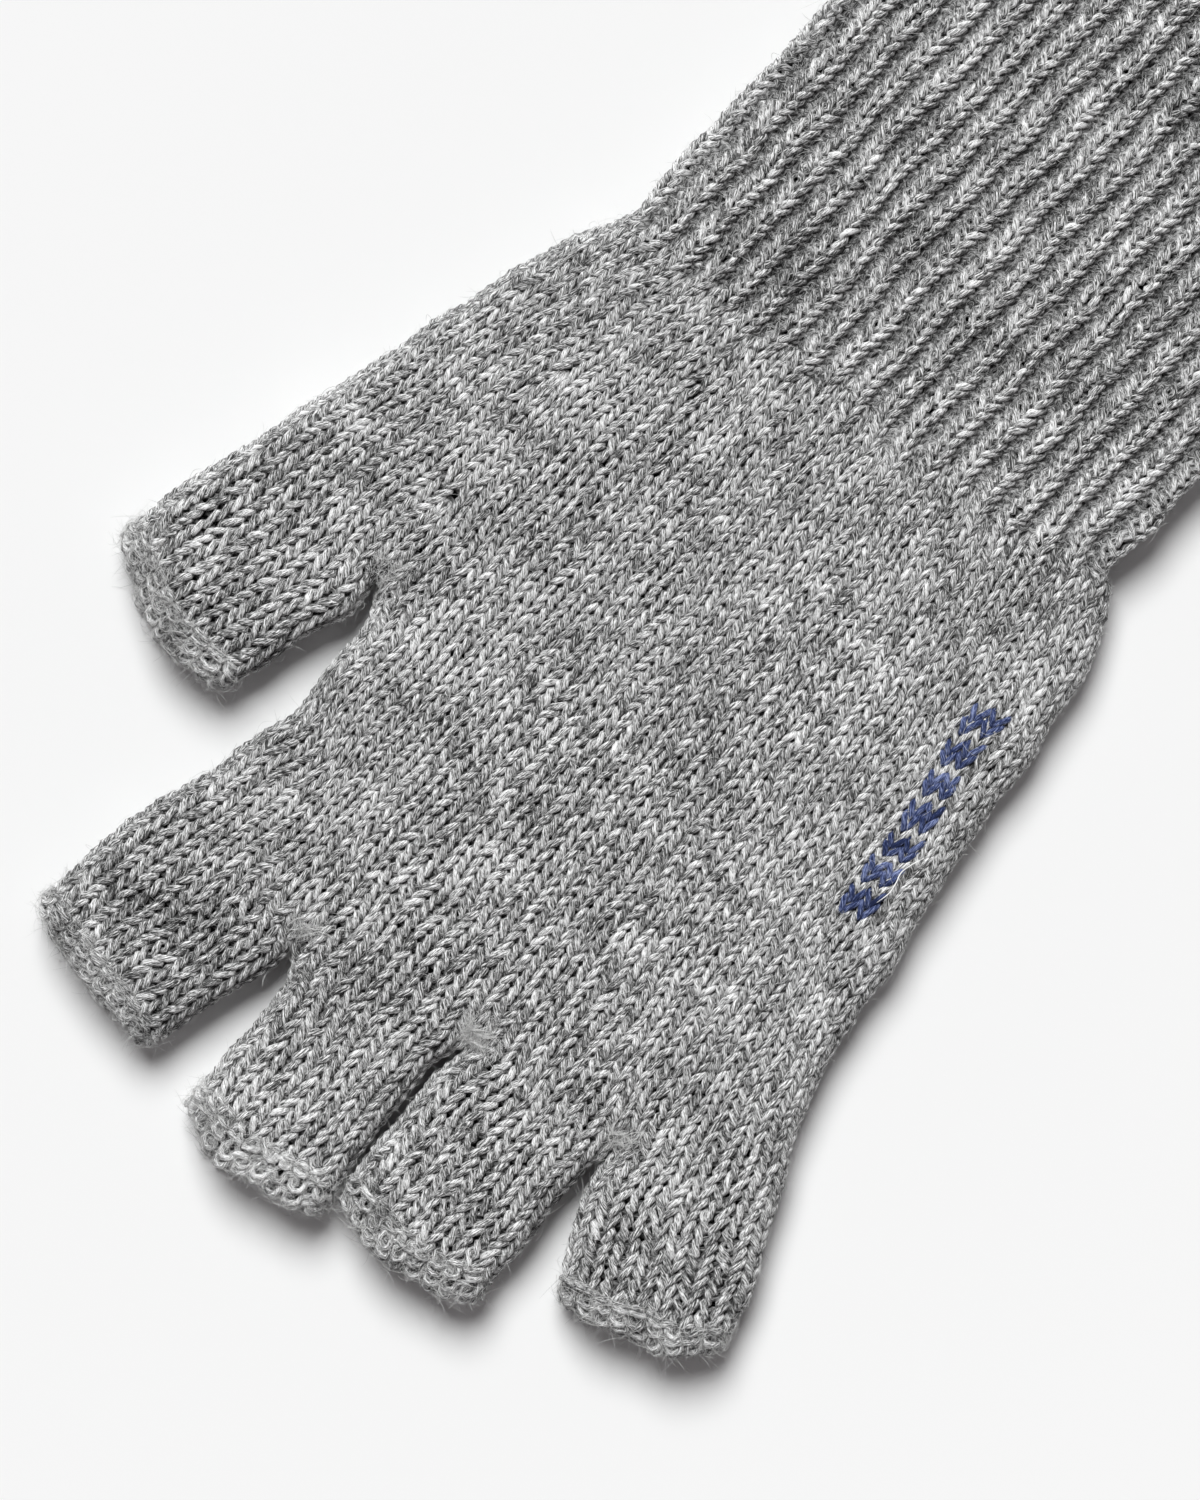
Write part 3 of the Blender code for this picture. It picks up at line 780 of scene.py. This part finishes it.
def bound_edge(name, j, v, outward, seed, size=1.0, wide=1.0, shade=0.0):
    """The last rows curl outward, so the end is a soft roll that shows the purl side's arcs."""
    own = np.random.default_rng(seed)
    fine = 1200
    here, n, ahead = rim(j, v, fine)
    girth = np.concatenate([[0], np.cumsum(np.linalg.norm(np.diff(np.vstack([here, here[:1]]), axis=0), axis=1))])
    round_ = girth[-1]

    def at(s, angle, radius):
        """A point s mm round the rim, at an angle round the roll's own section."""
        i = np.searchsorted(girth, np.mod(s, round_), side="right") - 1
        i = np.clip(i, 0, fine - 1)
        f = ((np.mod(s, round_) - girth[i]) / (girth[i + 1] - girth[i]))[:, None]
        mixed = [values[i] * (1 - f) + values[(i + 1) % fine] * f for values in (here, n, ahead)]
        middle, up, go = mixed
        # The roll's section is a flat oval, longer towards the hand.
        spoke = up * np.cos(angle)[:, None] + go * outward * wide * np.sin(angle)[:, None]
        out = up * np.cos(angle)[:, None] * wide + go * outward * np.sin(angle)[:, None]
        out /= np.linalg.norm(out, axis=1)[:, None]
        return middle + spoke * np.asarray(radius)[:, None], out

    made = Tubes(6)
    turns = int(round(round_ / 2.5))
    pitch = round_ / turns
    points = 12
    count = turns * points
    t = np.arange(count) / count * TAU * turns
    base = np.arange(count) / count

    def per_stitch(much):
        """One random value a stitch, smooth from each to the next, the same at both ends."""
        values = own.normal(0, much, turns)
        return np.interp(base * turns, np.arange(turns + 1), np.append(values, values[0]))

    def ring_wave(much):
        """A slow wave that closes on itself."""
        return much * sum(np.sin(base * TAU * q + own.uniform(0, TAU)) / q**0.5 for q in (1, 2, 3, 5, 7)) / 1.9

    swell, shift = ring_wave(0.20), ring_wave(0.20)
    for strand, middle in enumerate((-1.60, -0.95, -0.25, 0.45, 1.15, 1.95, 2.75)):
        s = base * round_ + 0.24 * pitch * (1 + per_stitch(0.3)) * np.sin(2 * t) + per_stitch(0.22) + 0.35 * strand
        angle = middle + shift - (0.62 + per_stitch(0.20)) * np.cos(t) + per_stitch(0.14)
        radius = size * (1.0 + swell + 0.20 * np.cos(2 * t) - 0.24 * np.cos(t) + per_stitch(0.12))
        path, out = at(s, angle, radius)
        path, out = np.vstack([path, path[:1]]), np.vstack([out, out[:1]])
        path[:, 2] = np.maximum(path[:, 2], 0.50)
        along = np.concatenate([[0], np.cumsum(np.linalg.norm(np.diff(path, axis=0), axis=1))])
        tone = heather(path, along, seed + strand) + shade
        thickness = 0.46 * (1 + np.append(per_stitch(0.10), 0.0)).clip(0.7, 1.35)
        thickness[-1] = thickness[0]
        rise = np.append(radius / size - 1.0, radius[0] / size - 1.0)
        # Painted shade: strands lying low on the roll are darkened in colour, strands standing out are left lighter.
        made.add(path, out, thickness, {"tone": tone}, depth=0.16 + 1.2 * rise)
        HOST.append((("edge", name), path, out, thickness, np.full(len(path), v), np.full(len(path), 0 if j is None else j), 1))
    return made


for j, name in enumerate(STRIPS):
    wide = (1.45, 1.25, 1.80, 1.70, 1.50)[j]
    made = bound_edge(name, j, tip[j] - (1.10 * wide + 0.46) / COURSE, 1.0, 300 + j, 1.10, wide, (-0.1, -0.5, 0.2, -0.6, -0.5)[j])
    keep(made.build(f"{name}_bound_off_edge", pale_edge if name == "middle" else grey_edge), name, stands_for=(f"{name}_bound_edge",))
made = bound_edge("cuff", None, 0.85, -1.0, 311, 0.95)
keep(made.build("cuff_cast_on_edge", grey_edge), "cuff", stands_for=("cuff_start_edge",))


# ---------------------------------------------------------------- crotch stitches
def wander(points, normals, seed, rough=0.12):
    line, _ = through(points, 8)
    nn, _ = through(normals, 8)
    nn /= np.linalg.norm(nn, axis=1)[:, None]
    own = np.random.default_rng(seed)
    s = np.linspace(0, 1, len(line))
    for axis in range(3):
        line[:, axis] += rough * np.interp(s, np.linspace(0, 1, 9), own.normal(size=9))
    return line, nn


def crotch_yarn(name, k, seed, spread=2.6, strands=4):
    own = np.random.default_rng(seed)
    made = Tubes(6)
    c = crotch[k]
    for s in range(strands):
        w0 = own.uniform(-0.9, 0.3)
        pts, nrm = [], []
        for f in np.linspace(-1, 1, 6):
            u = FIRST[k] + f * spread / 2.8 * own.uniform(0.75, 1.1)
            v = c + w0 - 0.5 - 0.9 * f * f + own.normal(0, 0.25) + s * 0.35 - 0.5
            uu, vv = np.array([u]), np.array([v])
            st = np.array([k if u >= FIRST[k] else k - 1])
            here, n = frames(uu, vv, st, np.array([1.0]))
            lift = 0.25 + 0.35 * (1 - f * f) ** 0.5 if abs(f) < 1 else -0.3
            pts.append(here[0] + n[0] * lift)
            nrm.append(n[0] + np.array([0, 0, 0.6]))
        line, nn = wander(pts, nrm, seed * 7 + s)
        along = np.concatenate([[0], np.cumsum(np.linalg.norm(np.diff(line, axis=0), axis=1))])
        radius = (0.24 if name == "middle" else 0.30) * np.sin(np.linspace(0.35, math.pi - 0.35, len(line))) ** 0.5
        # Painted shade as on the knit; the middle's crotch yarn is darkened less than the others.
        made.add(line, nn, radius, {"tone": heather(line, along, seed + s) + (0.6 if name == "middle" else -0.2)}, depth=np.full(len(line), 0.45 if name == "middle" else 0.15))
        HOST.append((("edge", name), line, nn, radius, np.full(len(line), c), np.full(len(line), k), 1))
        HOST.append((("tuft", name), line, nn, radius, np.full(len(line), c), np.full(len(line), k), 1))
    return made


for k, name, seed in ((1, "thumb", 61), (2, "index", 62), (3, "middle", 63), (4, "ring", 64)):
    made = crotch_yarn(name, k, seed, strands=4 if name == "middle" else 2)
    mat = pale if name == "middle" else grey
    keep(made.build(f"{name}_crotch_yarn", mat), "hand", stands_for=(f"{name}_crotch_stitch",))


# ---------------------------------------------------------------- the mark
def nearest(x, y):
    """The column and row whose middle is nearest a plan point, on the back."""
    cols = np.arange(34, 42)
    best = None
    for row in range(55, 95):
        p, _ = plan(cols + 0.5, np.full(len(cols), float(row)), np.full(len(cols), 4))
        d = np.hypot(p[:, 0] - x, p[:, 1] - y)
        i = int(d.argmin())
        if best is None or d[i] < best[0]:
            best = (d[i], int(cols[i]), row)
    return best[1], best[2]


col_a, row_a = nearest(-32.2, -22.8)
col_b, row_b = nearest(-33.9, 9.6)
row_a, row_b = row_a + 1, row_b + 1
print("mark columns", col_a, col_b, "rows", row_a, row_b)
made = Tubes(8)
t = np.linspace(0.16 * TAU / 2, TAU / 2 - 0.16 * TAU / 2, 12)
rows_total = row_b - row_a + 1
for row in range(row_a, row_b + 1):
    place = (row - row_a) % 3
    if place == 2:
        continue
    for c in (col_a - 1, col_a):
        for half in (0, 1):
            tt = t + (math.pi if half else 0.0)
            u = c + tt / TAU + WAIST * np.sin(2 * tt)
            v = row + LOOP * np.cos(tt)
            strip = np.full(len(tt), 4)
            here, n = frames(u, v, strip, np.ones(len(tt)))
            off = -LEG * np.cos(2 * tt) + 0.20
            path = here + n * off[:, None]
            radius = YARN * 0.93 * np.clip(np.sin(np.linspace(0.25, math.pi - 0.25, len(tt))) * 1.35, 0, 1) ** 0.5
            along = np.linspace(0, 2.4, len(tt))
            # Painted shade as on the knit: the deep parts of each mark stitch are darkened in colour.
            made.add(path, n, radius, {"tone": heather(path, along + 5, 900 + row * 5 + c + half)}, depth=off)
keep(made.build("small_mark_stitches", navy), "hand", stands_for=("back_mark",))


# One stray white thread lies across the foot of the mark.
cols = np.arange(33, 42)
thread = []
for x, y in ((-35.1, 6.6), (-35.6, 4.7), (-35.5, 3.0), (-35.2, 1.4), (-35.7, -0.4), (-36.4, -2.0)):
    grid = [(c, r) for c in cols for r in np.arange(60.0, 92.0, 0.5)]
    uu, vv = np.array([g[0] + 0.5 for g in grid]), np.array([g[1] for g in grid])
    here = surface(uu, vv, np.full(len(uu), 4), np.ones(len(uu)))
    near = here[np.hypot(here[:, 0] - SHIFT[0] - x, here[:, 1] - SHIFT[1] - y).argmin()]
    thread.append((x + SHIFT[0], y + SHIFT[1], near[2] + LEG + YARN + 0.85))
line, _ = through(thread, 6)
made = Tubes(6)
made.add(line, np.tile([0.0, 0.0, 1.0], (len(line), 1)), 0.090 * np.clip(np.sin(np.linspace(0.2, math.pi - 0.2, len(line))) * 1.6, 0, 1),
         {"tone": np.full(len(line), 1.0)}, depth=np.full(len(line), 1.0))
white_thread = fluff("white_thread", 0.9, 0.98)
keep(made.build("stray_thread", white_thread), "hand")


# ---------------------------------------------------------------- loose fibres
class Fibres:
    """Loose fibres as thin closed tapered tubes, made all at once."""

    def __init__(self):
        self.co, self.tone = [], []

    def grow(self, start, normal, course, count, long_, lift, thick, bright, seed, stray=0.7, free_share=0.42):
        own = np.random.default_rng(seed)
        i = own.integers(0, len(start), count)
        p, n = start[i], normal[i]
        aim = course[i] - (course[i] * n).sum(1)[:, None] * n
        aim /= np.linalg.norm(aim, axis=1)[:, None] + 1e-9
        off = own.normal(0, stray, count)[:, None]
        aim = aim * np.cos(off) + np.cross(n, aim) * np.sin(off)
        side = np.cross(n, aim)
        length = own.gamma(3.0, long_ / 3.0, count).clip(0.7, long_ * 3.2)
        rise = np.abs(own.normal(0, lift, count))
        curl = own.normal(0, 0.55, count)
        curl2 = own.normal(0, 0.5, count)
        m = 7
        s = np.linspace(-0.5, 0.5, m)
        x = s[None, :] * length[:, None]
        y = (curl[:, None] * (s[None, :] ** 2 * 2.0) + curl2[:, None] * np.sin(s[None, :] * 6.0) * 0.18) * length[:, None] * 0.6
        z = (0.25 - s[None, :] ** 2) * 4 * rise[:, None] + 0.02
        # One end of many fibres stands free.
        free = own.random(count) < free_share
        z = np.where(free[:, None], (s[None, :] + 0.5) ** 1.5 * rise[:, None] * 2.2, z)
        line = p[:, None, :] + aim[:, None, :] * x[..., None] + side[:, None, :] * y[..., None] + n[:, None, :] * z[..., None]
        line[..., 2] = np.maximum(line[..., 2], 0.08)
        tangent = np.gradient(line, axis=1)
        tangent /= np.linalg.norm(tangent, axis=2)[..., None] + 1e-12
        b = np.cross(tangent, n[:, None, :])
        b /= np.linalg.norm(b, axis=2)[..., None] + 1e-12
        a = np.cross(b, tangent)
        r = thick * own.uniform(0.6, 1.3, count)[:, None] * np.array([0.35, 0.8, 1, 1, 1, 0.75, 0.25])[None, :]
        ring = []
        for q in range(4):
            th = TAU * q / 4
            ring.append(line + (a * math.cos(th) + b * math.sin(th)) * r[..., None])
        self.co.append(np.stack(ring, axis=2).reshape(-1, 3))
        tone = (bright + own.normal(0, 0.24, count)).clip(0, 1)
        self.tone.append(np.repeat(tone, m * 4))

    def build(self, name, material):
        co = np.vstack(self.co)
        m, k = 7, 4
        count = len(co) // (m * k)
        i = np.arange(m - 1)[:, None] * k
        j = np.arange(k)[None, :]
        j2 = (j + 1) % k
        one = np.stack([i + j, i + j2, i + k + j2, i + k + j], axis=-1).reshape(-1, 4)
        one = np.vstack([one, [[3, 2, 1, 0]], np.array([[0, 1, 2, 3]]) + (m - 1) * k])
        quads = (one[None] + (np.arange(count) * m * k)[:, None, None]).reshape(-1, 4).astype(np.int32)
        mesh = bpy.data.meshes.new(name)
        mesh.vertices.add(len(co))
        mesh.vertices.foreach_set("co", (co / 1000).astype(np.float32).ravel())
        mesh.loops.add(quads.size)
        mesh.loops.foreach_set("vertex_index", quads.ravel())
        mesh.polygons.add(len(quads))
        mesh.polygons.foreach_set("loop_start", np.arange(0, quads.size, 4, dtype=np.int32))
        mesh.update(calc_edges=True)
        mesh.polygons.foreach_set("use_smooth", np.ones(len(quads), dtype=bool))
        grid = int(math.ceil(math.sqrt(count)))
        cell = np.stack([np.arange(count) % grid, np.arange(count) // grid], axis=1) / grid
        corner = np.array([[0.2, 0.2], [0.8, 0.2], [0.8, 0.8], [0.2, 0.8]]) / grid
        uv = cell[:, None, None, :] + corner[None, None]
        uv = np.broadcast_to(uv, (count, len(one), 4, 2)).reshape(-1, 2)
        mesh.uv_layers.new(name="OFBake").data.foreach_set("uv", uv.astype(np.float32).ravel())
        mesh.attributes.new("tone", "FLOAT", "POINT").data.foreach_set("value", np.concatenate(self.tone).astype(np.float32))
        mesh.materials.append(material)
        obj = bpy.data.objects.new(name, mesh)
        bpy.context.scene.collection.objects.link(obj)
        return obj


hosts = {}
for bodies, path, n, radius, row, strip, face in HOST:
    key = bodies if isinstance(bodies, str) else "_".join(bodies)
    top = n[:, 2] > -0.35 if face > 0 else n[:, 2] > 2.0
    start = path[top] + n[top] * radius[top][:, None] * 0.8
    course = np.gradient(path, axis=0)
    course /= np.linalg.norm(course, axis=1)[:, None] + 1e-12
    hosts.setdefault((key, face), [[], [], []])
    for kept, values in zip(hosts[(key, face)], (start, n[top], course[top])):
        kept.append(values)
hosts = {key: tuple(np.vstack(part) for part in parts) for key, parts in hosts.items() if parts[0]}


def fuzz(name, key, density, seed, body=None, mix=None, edge_key=None, tufts=()):
    start, normal, course = hosts[(key, 1)]
    made = Fibres()
    count = int(len(start) * density)
    made.grow(start, normal, course, count, 2.3, 0.16, 0.020, 0.60, seed)
    made.grow(start, normal, course, int(count * 0.14), 4.2, 0.55, 0.017, 0.75, seed + 1, stray=1.2)
    side = np.abs(normal[:, 2]) < 0.45
    if side.any():
        made.grow(start[side], normal[side], course[side], int(side.sum() * 0.30), 1.9, 0.42, 0.020, 0.55, seed + 3, stray=1.3, free_share=0.6)
    if edge_key and (edge_key, 1) in hosts:
        s2, n2, c2 = hosts[(edge_key, 1)]
        much = 1.5 if "middle" in name or "thumb" in name else 1.15
        made.grow(s2, n2, c2, int(620 * much), 3.4, 0.24, 0.022, 0.62, seed + 2, stray=0.5, free_share=0.2)
        made.grow(s2, n2, c2, int(560 * much), 2.2, 0.60, 0.020, 0.66, seed + 4, stray=1.2, free_share=0.7)
    for tuft, count in tufts:
        s2, n2, c2 = hosts[(tuft, 1)]
        made.grow(s2, n2, c2, count, 3.0, 0.30, 0.026, 0.84, seed + 9, stray=0.9, free_share=0.3)
    return keep(made.build(name, fibre_mat), body, mix)


for key, parts in list(hosts.items()):
    if key in (("hand_cuff", 1), ("hand", 1)):
        line = (SHIFT[1] - 80.0) if key[0] == "hand_cuff" else (SHIFT[1] + 6.0)
        for half, chosen in (("lower", parts[0][:, 1] < line), ("upper", parts[0][:, 1] >= line)):
            hosts[(f"{key[0]}_{half}", 1)] = tuple(part[chosen] for part in parts)
fuzz("cuff_fibres_lower", "hand_cuff_lower", 0.17, 71, mix=wrist_mix)
fuzz("cuff_fibres_upper", "hand_cuff_upper", 0.17, 75, mix=wrist_mix)
fuzz("hand_fibres_lower", "hand_lower", 0.19, 72, body="hand")
fuzz("hand_fibres_upper", "hand_upper", 0.19, 76, body="hand", tufts=(("tuft_middle", 300), ("tuft_ring", 60), ("tuft_index", 60)))
for j, name in enumerate(STRIPS):
    mix = ("hand", name, spot(name, -1.0, 3.0), spot(name, 8.0, 3.0))
    fuzz(f"{name}_fibres", f"hand_{name}", 0.20, 80 + 3 * j, mix=mix, edge_key=f"edge_{name}")


# ---------------------------------------------------------------- floor, light, camera
bpy.ops.mesh.primitive_plane_add(size=6.0, location=(0, 0, -0.0001))
floor = bpy.context.object
floor.name = "floor"
mat, nodes, links, shader = new_material("floor_white")
shader.inputs["Base Color"].default_value = (0.90, 0.90, 0.90, 1)
shader.inputs["Roughness"].default_value = 0.95
shader.inputs["Specular IOR Level"].default_value = 0.1
floor.data.materials.append(mat)

world = bpy.data.worlds.new("studio") if bpy.context.scene.world is None else bpy.context.scene.world
bpy.context.scene.world = world
world.use_nodes = True
sky = world.node_tree.nodes["Background"]
# Low down the studio is as pale as the floor, so that low views have no dark horizon.
facing = world.node_tree.nodes.new("ShaderNodeTexCoord")
parts = world.node_tree.nodes.new("ShaderNodeSeparateXYZ")
band = world.node_tree.nodes.new("ShaderNodeMapRange")
band.interpolation_type = "SMOOTHSTEP"
band.inputs["From Min"].default_value, band.inputs["From Max"].default_value = 0.11, 0.24
band.inputs["To Min"].default_value, band.inputs["To Max"].default_value = 0.90, 0.125
hue = world.node_tree.nodes.new("ShaderNodeMapRange")
hue.inputs["From Min"].default_value, hue.inputs["From Max"].default_value = 0.11, 0.24
blend = world.node_tree.nodes.new("ShaderNodeMix")
blend.data_type = "RGBA"
blend.inputs["A"].default_value = (0.985, 1.0, 0.994, 1)
blend.inputs["B"].default_value = (1.0, 0.93, 0.95, 1)
world.node_tree.links.new(parts.outputs[2], hue.inputs["Value"])
world.node_tree.links.new(hue.outputs["Result"], blend.inputs["Factor"])
world.node_tree.links.new(blend.outputs["Result"], sky.inputs[0])
world.node_tree.links.new(facing.outputs["Generated"], parts.inputs[0])
world.node_tree.links.new(parts.outputs[2], band.inputs["Value"])
world.node_tree.links.new(band.outputs["Result"], sky.inputs[1])

sun_data = bpy.data.lights.new("key", "SUN")
sun_data.energy = 3.44
sun_data.angle = math.radians(33)
sun_data.color = (0.9915, 1.002, 0.999)
sun = bpy.data.objects.new("key", sun_data)
bpy.context.scene.collection.objects.link(sun)
high, low = math.radians(54.5), (0.755, -0.656)
sun.rotation_euler = Vector((low[0] * math.cos(high), low[1] * math.cos(high), math.sin(high))).to_track_quat("Z", "Y").to_euler()
bpy.context.scene.view_settings.view_transform = "Standard"

VIEW = (6.32 + SHIFT[0], 13.50 + SHIFT[1])
HIGH = 0.95
camera_data = bpy.data.cameras.new("camera")
camera_data.sensor_fit = "VERTICAL"
camera_data.sensor_height = 24.0
camera_data.lens = 24.0 * (HIGH - 0.006) / 0.200
camera_data.clip_start = 0.01
camera_data.dof.use_dof = False
camera = bpy.data.objects.new("camera", camera_data)
bpy.context.scene.collection.objects.link(camera)
camera.location = (VIEW[0] / 1000, VIEW[1] / 1000, HIGH)
camera.rotation_euler = (0, 0, math.atan2(-0.62029, -0.78437))
bpy.context.scene.camera = camera

total = sum(len(o.data.polygons) for o in pieces)
print("pieces", len(pieces), "faces", total, "vertices", sum(len(o.data.vertices) for o in pieces))
